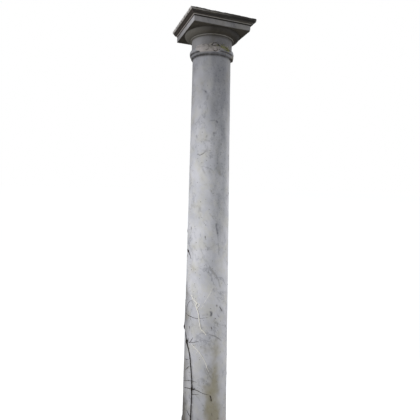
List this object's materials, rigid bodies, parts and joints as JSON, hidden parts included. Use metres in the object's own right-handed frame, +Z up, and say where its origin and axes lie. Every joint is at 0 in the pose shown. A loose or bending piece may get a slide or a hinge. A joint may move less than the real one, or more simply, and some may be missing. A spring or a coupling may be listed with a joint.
{
  "type": "doric column",
  "caption": "Smooth weathered marble column with a square base, a tapering unfluted shaft and a moulded square capital, a dead climber's stem clinging to it.",
  "frame": {"origin": "middle of the plinth's underside, on the column's axis", "axes": "+Z up along the column's axis, -Y the front face, +X to the right when seen from the front"},
  "size_m": [0.384, 0.384, 2.5626],
  "materials": {
    "shaft_marble": "weathered grey-veined white marble, once honed, with lichen specks and dried root traces",
    "capital_marble": "weathered marble, sooty brown on the undersides and on the crown, with lime crust and moss on the neck",
    "base_marble": "weathered marble with splashed earth and green growth near the ground",
    "dead_wood": "dry dark bark of a dead climber"
  },
  "bodies": {
    "root": {"base": "base_marble", "shaft": "shaft_marble", "capital": "capital_marble", "climber_stem": "dead_wood"}
  },
  "joints": []
}
